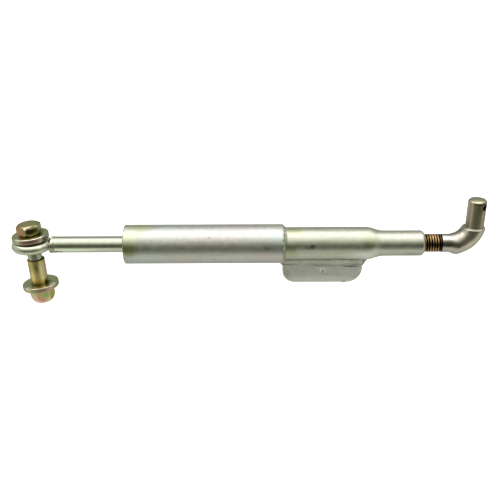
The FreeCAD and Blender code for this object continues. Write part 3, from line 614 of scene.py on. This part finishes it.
# Yellow zinc on a turned bush: gold with upright light and dark streaks of painted reflection, an
# amber foot, a painted shadow at its lower right, and brown painted shade along its top rim under
# the eye.
BUSH_ZINC = PlatedSteel(
    "yellow_zinc_bush", ((0.3, "AEA264"), (0.5, "B4A66C"), (0.7, "ACA068")),
    drift_mm=9.0, drift_stretch=1.0, grain_run=1.0, grain=0.04, roughness=0.26, marks=(
        Mark((-3.0, -7.0, -20.0), 5.0, "A69A56", 0.70, (1.0, 1.0, 0.4), 0.5),
        # Painted upright streaks of reflection, dark and light.
        Mark((3.6, -8.3, -24.0), 2.2, "5E6430", 0.75, (1.0, 1.0, 0.16), 0.5),
        Mark((6.9, -7.2, -25.0), 2.6, "E2D8B0", 0.65, (1.0, 1.0, 0.14), 0.5),
        Mark((10.2, -4.0, -25.0), 2.8, "D0BCB0", 0.80, (1.0, 1.0, 0.14), 0.5),
        Mark((3.5, -8.3, -36.0), 6.5, "C08A3A", 0.65, (0.7, 1.0, 1.0), 0.6),
        # A painted shadow at the lower right.
        Mark((10.0, -4.0, -37.5), 5.0, "48480C", 0.85, (1.0, 1.0, 1.0), 0.6),
        Mark((3.4, -8.9, -31.0), 9.0, "F0DC94", 0.50, (0.7, 1.0, 0.7), 0.5),
        # Brown painted shade along the top rim, under the eye.
        Mark((1.0, 0.0, -13.9), 14.0, "42220F", 0.90, (0.8, 0.8, 7.0), 0.1)))


def shell_copy(node: str) -> bmesh.types.BMesh:
    """A merged copy of a CAD node's mesh.

    Args:
        node: The CAD node's name.

    Returns:
        A bmesh with its doubles merged.
    """
    bm = bmesh.new()
    bm.from_mesh(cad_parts[node].data)
    bmesh.ops.remove_doubles(bm, verts=bm.verts, dist=MERGE)
    return bm


def cut_away(bm: bmesh.types.BMesh, at: Vector, side: Vector) -> None:
    """Cuts off what lies on one side of a plane and closes the cut.

    Args:
        bm: The mesh to cut.
        at: A point of the plane.
        side: The direction that is cut away.
    """
    geometry = list(bm.verts) + list(bm.edges) + list(bm.faces)
    bmesh.ops.bisect_plane(bm, geom=geometry, plane_co=at, plane_no=side, clear_outer=True,
                           dist=MERGE)
    rim = [edge for edge in bm.edges if edge.is_boundary]
    bmesh.ops.holes_fill(bm, edges=rim, sides=0)


def make_piece(bm: bmesh.types.BMesh, name: str, body: Body,
               material: bpy.types.Material, sharp_deg: float = 35.0) -> bpy.types.Object:
    """Turns a bmesh to a piece that rides on a body.

    Args:
        bm: The finished mesh, in the row's frame. It is freed.
        name: The piece's name.
        body: The body that it rides on.
        material: Its material.
        sharp_deg: Edges that turn more than this stay sharp.

    Returns:
        The piece.
    """
    mesh = bpy.data.meshes.new(name)
    bm.normal_update()
    bm.to_mesh(mesh)
    bm.free()
    mesh.shade_smooth()
    mesh.set_sharp_from_angle(angle=math.radians(sharp_deg))
    mesh.materials.append(material)
    piece = bpy.data.objects.new(name, mesh)
    bpy.context.scene.collection.objects.link(piece)
    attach(piece, body.value)
    LOG.info("%s: %d faces on %s", name, len(mesh.polygons), body.value)
    return piece


def dress(node: str, material: bpy.types.Material) -> None:
    """Gives a CAD node its finish and keeps its mesh.

    Args:
        node: The CAD node's name.
        material: Its material.
    """
    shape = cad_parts[node]
    shape.data.materials.clear()
    shape.data.materials.append(material)
    LOG.info("%s keeps its CAD shape", node)


@dataclass(frozen=True)
class WeldBead:
    """A weld as laid: the CAD bead with ripples across its run and lumps over it.

    The bead runs round the bar, or along it where its hub is None. Ripples wander and bow
    as they cross it. The bead stays plain before a place along the bar, which leans with
    height, and within an outermost radius where that is above 0.
    """

    node: str
    name: str
    body: Body
    hub_mm: tuple[float, float] | None = None
    middle_mm: float = 0.0
    ripple_mm: float = 1.7
    ripple_height_mm: float = 0.22
    bow_per_mm: float = 0.25
    lump_mm: float = 3.5
    lump_height_mm: float = 0.35
    lift_mm: float = 0.0
    voxel_mm: float = 0.28
    outermost_mm: float = 0.0
    plain_before_mm: float = 0.0
    plain_lean: float = 0.0
    wander_ripples: float = 4.0
    wander_share: float = 0.5
    ripple_mean: float = 0.6
    sharp_deg: float = 80.0

    def build(self, material: bpy.types.Material) -> None:
        """Makes the bead in place of the CAD node.

        Args:
            material: The bead's finish.
        """
        bm = self.remeshed()
        bm.normal_update()
        moves = [vert.normal * self.rise(vert.co) for vert in bm.verts]
        for vert, move in zip(bm.verts, moves):
            vert.co += move
            self.keep_inside(vert)
        piece = make_piece(bm, self.name, self.body, material,
                           self.sharp_deg)
        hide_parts(self.node)

    def remeshed(self) -> bmesh.types.BMesh:
        """Evens out the CAD bead's faces.

        Returns:
            The bead with small even faces.
        """
        shell = shell_copy(self.node)
        mesh = bpy.data.meshes.new("bead_shell")
        shell.to_mesh(mesh)
        shell.free()
        holder = bpy.data.objects.new("bead_shell", mesh)
        bpy.context.scene.collection.objects.link(holder)
        evener = holder.modifiers.new("even", "REMESH")
        evener.mode = "VOXEL"
        evener.voxel_size = self.voxel_mm * MM
        graph = bpy.context.evaluated_depsgraph_get()
        even = bpy.data.meshes.new_from_object(holder.evaluated_get(graph))
        bm = bmesh.new()
        bm.from_mesh(even)
        bpy.data.objects.remove(holder)
        bpy.data.meshes.remove(mesh)
        bpy.data.meshes.remove(even)
        return bm

    def rise(self, point: Vector) -> float:
        """Works out how far the bead's skin stands out of the CAD bead.

        Args:
            point: A point of the skin.

        Returns:
            The rise in metres.
        """
        if self.hub_mm is None:
            run, across = point.x, point.z - self.middle_mm * MM
        else:
            side, up = point.y - self.hub_mm[0] * MM, point.z - self.hub_mm[1] * MM
            run = math.atan2(up, side) * math.hypot(side, up)
            across = point.x - self.middle_mm * MM
        bow = self.bow_per_mm * across * across / MM
        patch = self.wander_ripples * self.ripple_mm * MM
        wander = self.wander_share * noise.noise(point / patch) * self.ripple_mm * MM
        share = ((run + bow + wander) / (self.ripple_mm * MM)) % 1.0
        ripple = (1 - (2 * share - 1) ** 2 - self.ripple_mean) * self.ripple_height_mm
        lump = noise.noise(point / (self.lump_mm * MM)) * self.lump_height_mm
        plain = self.plain_before_mm + self.plain_lean * max(0.0, point.z / MM)
        fade = min(1.0, max(0.0, point.x / MM - plain))
        return (ripple + lump + self.lift_mm) * fade * MM

    def keep_inside(self, vert: bmesh.types.BMVert) -> None:
        """Holds a point of the bead within its outermost radius about the bar's axis.

        Args:
            vert: The vertex, which is moved where it lies too far out.
        """
        radius = math.hypot(vert.co.y, vert.co.z)
        if self.outermost_mm and radius > self.outermost_mm * MM:
            share = self.outermost_mm * MM / radius
            vert.co.y *= share
            vert.co.z *= share


@dataclass
class Hook:
    """The screwed hook: its thread is cut here, and the rest is the CAD forging and pin."""

    shoulder: float = 17.3 * MM
    thread_start: float = 303.85 * MM
    thread_end: float = 398.8 * MM
    major: float = 9.0 * MM
    depth: float = 1.45 * MM
    pitch: float = 2.5 * MM
    crest_share: float = 0.30
    root_share: float = 0.16
    runout: float = 1.5 * MM
    groove_overlap: float = 0.2 * MM
    groove_ramp: float = 0.5 * MM
    groove_lip: float = 0.3 * MM
    turns_before: int = 2
    spare_turns: int = 3
    thread_sharp_deg: float = 50.0
    steps: int = 56

    def build(self) -> None:
        """Makes the forging and the thread in place of the plain node."""
        forging = self.forging()
        finish = THREAD.build()
        for piece in (forging, self.pin(), self.thread(finish), self.runout_groove(finish)):
            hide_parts("hook")
        dress("hook_stop_ring", BARE_STEEL.build())
        dress("hook_stop_clip", SPRING_CLIP.build())

    def pin(self) -> bpy.types.Object:
        """Cuts out the upright pin above the shoulder, with its cross hole.

        Returns:
            The pin.
        """
        bm = shell_copy("hook")
        cut_away(bm, Z_AXIS * self.shoulder, -Z_AXIS)
        return make_piece(bm, "hook_pin", Body.HOOK, PIN_ZINC.build())

    def forging(self) -> bpy.types.Object:
        """Cuts out the elbow and the tail, without the pin and the threaded stretch.

        Returns:
            The forging, as two shells in one piece.
        """
        right = shell_copy("hook")
        cut_away(right, X_AXIS * self.thread_end, -X_AXIS)
        cut_away(right, Z_AXIS * self.shoulder, Z_AXIS)
        left = shell_copy("hook")
        cut_away(left, X_AXIS * self.thread_start, X_AXIS)
        spare = bpy.data.meshes.new("hook_tail")
        left.to_mesh(spare)
        left.free()
        right.from_mesh(spare)
        bpy.data.meshes.remove(spare)
        return make_piece(right, "hook_forging", Body.HOOK, FORGING.build())

    def runout_groove(self, finish: bpy.types.Material) -> bpy.types.Object:
        """Spins the groove where the thread ends at the shank.

        Args:
            finish: The thread's material.

        Returns:
            The groove.
        """
        bm = bmesh.new()
        start = self.thread_end - self.runout - self.groove_overlap
        floor = self.major - self.depth
        outline = ((start, 0.0), (start, floor), (self.thread_end - self.groove_ramp, floor),
                   (self.thread_end, self.major - self.groove_lip), (self.thread_end, 0.0))
        verts = [bm.verts.new((x, 0, radius)) for x, radius in outline]
        edges = [bm.edges.new(pair) for pair in zip(verts, verts[1:])]
        bmesh.ops.spin(bm, geom=verts + edges, cent=(0, 0, 0), axis=X_AXIS, angle=math.tau,
                       steps=self.steps, use_merge=True)
        bmesh.ops.remove_doubles(bm, verts=bm.verts, dist=MERGE)
        bmesh.ops.recalc_face_normals(bm, faces=bm.faces)
        return make_piece(bm, "hook_runout", Body.HOOK, finish)

    def thread(self, finish: bpy.types.Material) -> bpy.types.Object:
        """Spins a right-hand thread as one turn of a toothed outline that closes on itself.

        Args:
            finish: The thread's material.

        Returns:
            The thread, cut square at both ends.
        """
        bm = bmesh.new()
        turns = math.ceil((self.thread_end - self.thread_start) / self.pitch) + self.spare_turns
        flank = (1 - self.crest_share - self.root_share) / 2
        minor = self.major - self.depth
        shape = ((0.0, self.major), (self.crest_share, self.major),
                 (self.crest_share + flank, minor), (1 - flank, minor))
        verts = []
        for turn in range(turns):
            tooth = self.thread_start + (turn - self.turns_before) * self.pitch
            for share, radius in shape:
                verts.append(bm.verts.new((tooth + share * self.pitch, 0, radius)))
        edges = [bm.edges.new(pair) for pair in zip(verts, verts[1:])]
        bmesh.ops.spin(bm, geom=verts + edges, cent=(0, 0, 0), axis=X_AXIS, angle=math.tau,
                       dvec=X_AXIS * (self.pitch / self.steps), steps=self.steps,
                       use_merge=False, use_duplicate=False)
        bmesh.ops.remove_doubles(bm, verts=bm.verts, dist=MERGE)
        cut_away(bm, X_AXIS * self.thread_start, -X_AXIS)
        cut_away(bm, X_AXIS * (self.thread_end - self.runout), X_AXIS)
        bmesh.ops.recalc_face_normals(bm, faces=bm.faces)
        return make_piece(bm, "hook_thread", Body.HOOK, finish,
                          self.thread_sharp_deg)


@dataclass
class TubeAssembly:
    """The two tubes, their joint's weld, and the turning lug with its welds."""

    beads: tuple[WeldBead, ...] = (
        WeldBead("tube_joint_weld", "joint_bead", Body.TUBE, hub_mm=(0.0, 0.0), middle_mm=244.5,
                 ripple_mm=2.3, ripple_height_mm=0.22, lump_mm=2.8, lump_height_mm=0.7,
                 lift_mm=0.15, outermost_mm=19.05),
        WeldBead("lug_weld_front", "lug_bead_front", Body.TUBE, middle_mm=-18.5, ripple_mm=2.6,
                 ripple_height_mm=0.22, lump_mm=4.0, lump_height_mm=0.7, voxel_mm=0.3),
        WeldBead("lug_weld_rear", "lug_bead_rear", Body.TUBE, middle_mm=-18.5, ripple_mm=2.6,
                 ripple_height_mm=0.22, lump_mm=4.0, lump_height_mm=0.7, voxel_mm=0.35),
        WeldBead("lug_weld_ends", "lug_bead_ends", Body.TUBE, hub_mm=(0.0, -19.0),
                 middle_mm=242.0, ripple_mm=1.8, ripple_height_mm=0.3, lump_mm=2.5,
                 lump_height_mm=0.5, voxel_mm=0.22))

    def build(self) -> None:
        """Dresses the CAD nodes and lays the beads."""
        dress("outer_tube", OUTER_TUBE.build())
        dress("swaged_tube", SWAGED_TUBE.build())
        dress("turning_lug", LUG_PLATE.build())
        dress("guide_bush", BARE_STEEL.build())
        weld = WELD.build()
        for bead in self.beads:
            bead.build(weld)


@dataclass
class RodAndEye:
    """The sliding rod with its eye and what holds it in the tube."""

    bead: WeldBead = WeldBead(
        "eye_weld", "eye_bead", Body.ROD, hub_mm=(0.0, 0.0), middle_mm=18.0, ripple_mm=2.4,
        ripple_height_mm=0.2, lump_mm=2.6, lump_height_mm=0.4, lift_mm=2.7, voxel_mm=0.2,
        outermost_mm=8.1, plain_before_mm=18.0, plain_lean=0.3)

    def build(self) -> None:
        """Dresses the CAD nodes and lays the eye's bead."""
        dress("slide_rod", ROD.build())
        dress("eye_ring", EYE.build())
        self.bead.build(EYE_WELD.build())
        dress("stop_washer", BARE_STEEL.build())
        dress("stop_nut", BARE_STEEL.build())


@dataclass
class EyeBolt:
    """The bolt, nut, washers and loose bush at the eye."""

    finishes: tuple[tuple[str, PlatedSteel], ...] = (
        ("eye_bolt", BOLT_ZINC), ("bolt_nut", NUT_ZINC), ("head_washer", WASHER_ZINC),
        ("nut_washer", WASHER_ZINC), ("bolt_bush", BUSH_ZINC))

    def build(self) -> None:
        """Dresses the CAD nodes."""
        for node, finish in self.finishes:
            dress(node, finish.build())


@dataclass
class Studio:
    """A pale floor, an overhead softbox and a graded tent that the plating reflects.

    The tent is two arcs round the bar's length, before and behind it. What they and the
    floor show in the metal goes by the angle round the bar, 0 in front and 90 overhead.
    """

    look_at: Vector = field(default_factory=lambda: Vector((212.6 * MM, 0.0, -6.77 * MM)))
    elevation_deg: float = 24.2
    roll_deg: float = 0.25
    distance: float = 0.686
    focal_pixels: float = 700.0
    sensor_mm: float = 36.0
    nearest_seen: float = 0.01
    floor_z: float = -0.25
    floor_side: float = 14.0
    floor_glow: float = 0.80
    floor_paper: str = "C8C8C4"
    sky_on_matt: float = 0.6
    sky_in_metal: float = 1.0
    sky_more_seen: float = 0.25
    softbox_height: float = 1.0
    softbox_length: float = 2.8
    softbox_glow: float = 2.0
    tent_radius: float = 1.3
    tent_length: float = 3.2
    tent_front_deg: tuple[float, float] = (-10.5, 64.0)
    tent_rear_deg: tuple[float, float] = (112.0, 190.5)
    tent_steps: int = 24
    tent_gain: float = 2.4
    tent_tones: tuple[tuple[float, str], ...] = (
        (-180, "7E7F7A"), (-150, "7E7F78"), (-95, "9A9B94"), (-60, "B0B2AA"), (-45, "AEB0A6"),
        (-34, "95988C"), (-22, "52544A"), (6, "424639"), (18, "676A5C"), (30, "8E9183"),
        (42, "BEC1B4"), (54, "E4E6DC"), (64, "F0F0EA"), (112, "DCDCD6"), (125, "A6A7A0"),
        (146, "7E7F78"), (180, "74756F"))

    def build(self) -> None:
        """Makes the camera, the light, the floor and the tent."""
        self.camera()
        self.softbox()
        self.floor()
        self.tent()
        self.world()
        bpy.context.scene.view_settings.view_transform = "Standard"

    def camera(self) -> None:
        """The photograph's view: level with the bar, from in front and above."""
        data = bpy.data.cameras.new("camera")
        data.sensor_width = self.sensor_mm
        data.lens = self.focal_pixels / PHOTO_PIXELS * self.sensor_mm
        data.clip_start = self.nearest_seen
        camera = bpy.data.objects.new("camera", data)
        tilt = math.radians(self.elevation_deg)
        back = Vector((0, -math.cos(tilt), math.sin(tilt))) * self.distance
        facing = Matrix.Rotation(math.radians(90) - tilt, 4, "X")
        roll = Matrix.Rotation(math.radians(-self.roll_deg), 4, "Z")
        camera.matrix_world = Matrix.Translation(self.look_at + back) @ facing @ roll
        bpy.context.scene.collection.objects.link(camera)
        bpy.context.scene.camera = camera

    def softbox(self) -> None:
        """One wide soft light overhead, whose reflection is the bar's long highlight."""
        front = -self.softbox_height / math.tan(math.radians(self.tent_front_deg[1]))
        rear = -self.softbox_height / math.tan(math.radians(self.tent_rear_deg[0]))
        data = bpy.data.lights.new("softbox", "AREA")
        data.shape = "RECTANGLE"
        data.size = self.softbox_length
        data.size_y = rear - front
        data.energy = self.softbox_glow * math.pi * data.size * data.size_y
        lamp = bpy.data.objects.new("softbox", data)
        lamp.location = (self.look_at.x, (front + rear) / 2, self.softbox_height)
        bpy.context.scene.collection.objects.link(lamp)

    def floor(self) -> None:
        """The pale floor under the bar."""
        bm = bmesh.new()
        bmesh.ops.create_grid(bm, x_segments=1, y_segments=1, size=self.floor_side / 2,
                              matrix=Matrix.Translation((self.look_at.x, 0, self.floor_z)))
        self.stage("floor", bm, self.backdrop_paper())

    def tent(self) -> None:
        """The two arcs, which the camera doesn't see."""
        cloth = self.tent_cloth()
        arcs = (("tent_front", self.tent_front_deg), ("tent_rear", self.tent_rear_deg))
        for name, (low, high) in arcs:
            bm = bmesh.new()
            start = Matrix.Rotation(math.radians(-low), 3, "X") @ Vector((0, -self.tent_radius, 0))
            left = self.look_at.x - self.tent_length / 2
            ends = [bm.verts.new(start + X_AXIS * (left + run)) for run in (0, self.tent_length)]
            bmesh.ops.spin(bm, geom=[*ends, bm.edges.new(ends)], cent=(0, 0, 0), axis=-X_AXIS,
                           angle=math.radians(high - low), steps=self.tent_steps)
            self.stage(name, bm, cloth).visible_camera = False

    def stage(self, name: str, bm: bmesh.types.BMesh,
              material: bpy.types.Material) -> bpy.types.Object:
        """Turns a bmesh to a part of the stage.

        Args:
            name: The part's name.
            bm: Its mesh, which is freed.
            material: Its material.

        Returns:
            The part.
        """
        mesh = bpy.data.meshes.new(name)
        bm.to_mesh(mesh)
        bm.free()
        mesh.materials.append(material)
        made = bpy.data.objects.new(name, mesh)
        bpy.context.scene.collection.objects.link(made)
        return made

    def graded_glow(self, tree: bpy.types.NodeTree) -> bpy.types.NodeSocket:
        """A glow graded by the angle round the bar's length.

        Args:
            tree: The material's node tree.

        Returns:
            The glow's shader.
        """
        place = add_node(tree, "ShaderNodeSeparateXYZ", inputs={
            0: add_node(tree, "ShaderNodeTexCoord").outputs["Object"]})
        ahead = add_node(tree, "ShaderNodeMath", {"operation": "MULTIPLY"}, {
            0: place.outputs["Y"], 1: -1.0})
        angle = add_node(tree, "ShaderNodeMath", {"operation": "ARCTAN2"}, {
            0: place.outputs["Z"], 1: ahead.outputs[0]})
        share = add_node(tree, "ShaderNodeMapRange", inputs={
            "Value": angle.outputs[0], "From Min": -math.pi, "From Max": math.pi})
        ramp = add_node(tree, "ShaderNodeValToRGB", inputs={"Fac": share.outputs[0]})
        stops = tuple((0.5 + degrees / 360, code) for degrees, code in self.tent_tones)
        paint_ramp(ramp.color_ramp, stops)
        glow = add_node(tree, "ShaderNodeEmission", inputs={
            "Color": ramp.outputs["Color"], "Strength": self.tent_gain})
        return glow.outputs[0]

    def backdrop_paper(self) -> bpy.types.Material:
        """White paper to the eye with a faint shadow, and graded as the tent in the metal.

        Returns:
            The floor's material.
        """
        material = empty_material("backdrop_paper")
        tree = material.node_tree
        path = add_node(tree, "ShaderNodeLightPath")
        mirrored = add_node(tree, "ShaderNodeMath", {"operation": "MAXIMUM"}, {
            0: path.outputs["Is Glossy Ray"], 1: path.outputs["Is Transmission Ray"]})
        paper = add_node(tree, "ShaderNodeBsdfDiffuse", inputs={
            "Color": linear(self.floor_paper)})
        glow = add_node(tree, "ShaderNodeEmission", inputs={"Strength": self.floor_glow})
        lit = add_node(tree, "ShaderNodeAddShader", inputs={
            0: paper.outputs[0], 1: glow.outputs[0]})
        seen = add_node(tree, "ShaderNodeMixShader", inputs={
            "Fac": path.outputs["Is Camera Ray"], 1: paper.outputs[0], 2: lit.outputs[0]})
        shader = add_node(tree, "ShaderNodeMixShader", inputs={
            "Fac": mirrored.outputs[0], 1: seen.outputs[0], 2: self.graded_glow(tree)})
        add_node(tree, "ShaderNodeOutputMaterial", inputs={"Surface": shader.outputs[0]})
        return material

    def tent_cloth(self) -> bpy.types.Material:
        """Cloth that glows by the angle round the bar, dark ahead and light overhead.

        Returns:
            The tent's material.
        """
        material = empty_material("tent_cloth")
        tree = material.node_tree
        add_node(tree, "ShaderNodeOutputMaterial", inputs={"Surface": self.graded_glow(tree)})
        return material

    def world(self) -> None:
        """White surroundings, dimmer as a light on matt things than to the eye."""
        world = bpy.data.worlds.new("studio_white")
        world.use_nodes = True
        tree = world.node_tree
        tree.nodes.clear()
        path = add_node(tree, "ShaderNodeLightPath")
        seen = add_node(tree, "ShaderNodeMath", {"operation": "MAXIMUM"}, {
            0: path.outputs["Is Camera Ray"], 1: path.outputs["Is Glossy Ray"]})
        level = add_node(tree, "ShaderNodeMapRange", inputs={
            "Value": seen.outputs[0], "To Min": self.sky_on_matt, "To Max": self.sky_in_metal})
        white = add_node(tree, "ShaderNodeMath", {"operation": "MULTIPLY_ADD"}, {
            0: path.outputs["Is Camera Ray"], 1: self.sky_more_seen, 2: level.outputs[0]})
        sky = add_node(tree, "ShaderNodeBackground", inputs={"Strength": white.outputs[0]})
        add_node(tree, "ShaderNodeOutputWorld", inputs={"Surface": sky.outputs[0]})
        bpy.context.scene.world = world


def main() -> None:
    """Builds the studio and the bar."""
    logging.basicConfig(level=logging.INFO, format="%(name)s: %(message)s")
    for part in (Studio(), Hook(), TubeAssembly(), RodAndEye(), EyeBolt()):
        part.build()
        LOG.info("%s built", type(part).__name__)


if __name__ == "__main__":
    main()
